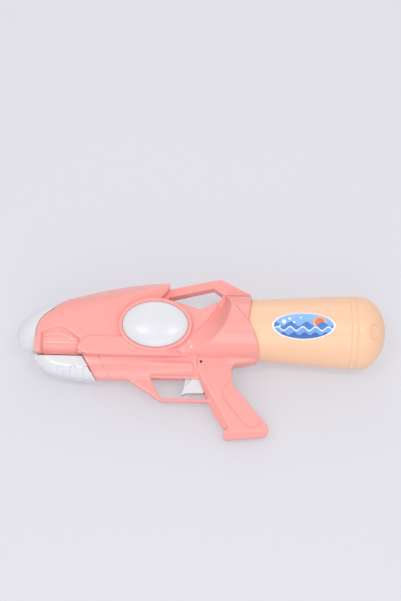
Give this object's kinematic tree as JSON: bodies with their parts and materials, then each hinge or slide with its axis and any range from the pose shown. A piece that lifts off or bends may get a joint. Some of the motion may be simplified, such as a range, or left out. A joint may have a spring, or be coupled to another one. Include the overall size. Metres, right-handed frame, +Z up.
{
  "type": "toy water squirter",
  "caption": "Pump-up toy water squirter lying on its side: pink shells with carry bar and grip, white nose, sliding fore-end, oval covers and trigger, and a ribbed peach water tank.",
  "frame": {"origin": "centre of the bounding box at ground level, with the squirter lying on its right side", "axes": "+X from the nose to the tank end, +Y away from the grip, +Z up out of the left side"},
  "size_m": [0.3994, 0.1746, 0.079],
  "materials": {
    "pink_shell": "satin moulded ABS",
    "white_plastic": "satin moulded ABS",
    "peach_tank": "satin blow-moulded polyethylene",
    "printed_label": "printed film",
    "grey_plastic": "unpainted moulding",
    "seal_rubber": "moulded",
    "clear_vinyl": "soft extruded tube",
    "plated_steel": "zinc plated"
  },
  "bodies": {
    "frame": {"left_shell": "pink_shell", "right_shell": "pink_shell", "nose_shroud": "white_plastic", "nozzle": "grey_plastic", "left_oval_cover": "white_plastic", "right_oval_cover": "white_plastic", "tank": "peach_tank", "tank_label": "printed_label", "tank_cap": "white_plastic", "tank_gasket": "seal_rubber", "pickup_tube": "clear_vinyl", "air_hose": "clear_vinyl", "water_hose_front": "clear_vinyl", "water_hose_rear": "clear_vinyl", "pump_cylinder": "grey_plastic", "cylinder_cap": "grey_plastic", "check_valve": "grey_plastic", "check_flap": "seal_rubber", "valve_body": "grey_plastic", "valve_spring": "plated_steel", "trigger_pin": "plated_steel", "trigger_spring": "plated_steel", "body_screw_1": "plated_steel", "body_screw_2": "plated_steel", "body_screw_3": "plated_steel", "body_screw_4": "plated_steel", "body_screw_5": "plated_steel", "body_screw_6": "plated_steel", "body_screw_7": "plated_steel"},
    "pump": {"pump_handle_left": "white_plastic", "pump_handle_right": "white_plastic", "pump_rod": "grey_plastic", "pump_piston": "grey_plastic", "piston_ring": "seal_rubber", "handle_screw_1": "plated_steel", "handle_screw_2": "plated_steel"},
    "trigger": {"trigger": "white_plastic"},
    "plunger": {"valve_plunger": "grey_plastic", "valve_ring": "seal_rubber"},
    "plug": {"filler_plug": "peach_tank", "filler_ring": "seal_rubber"}
  },
  "joints": [
    {"name": "pump_slide", "type": "slide", "parent": "frame", "child": "pump", "axis": [-1, 0, 0], "range_m": [0, 0.06]},
    {"name": "trigger_pull", "type": "hinge", "parent": "frame", "child": "trigger", "pos_m": [0.0011, -0.00523, 0.03035], "axis": [0, -0.2355, 0.9719], "range_deg": [0, 12], "stiffness_Nm_per_rad": 0.6, "springref_deg": -5.73, "deforming": ["trigger_spring"]},
    {"name": "valve_pull", "type": "slide", "parent": "frame", "child": "plunger", "axis": [-1, 0, 0], "range_m": [0, 0.0043], "deforming": ["valve_spring"]},
    {"name": "plug_pull", "type": "slide", "parent": "frame", "child": "plug", "axis": [0.6018, -0.3454, 0.7201], "range_m": [0, 0.016]}
  ],
  "couplings": [
    {"joint": "valve_pull", "follows": "trigger_pull", "m_per_rad": 0.0198}
  ]
}
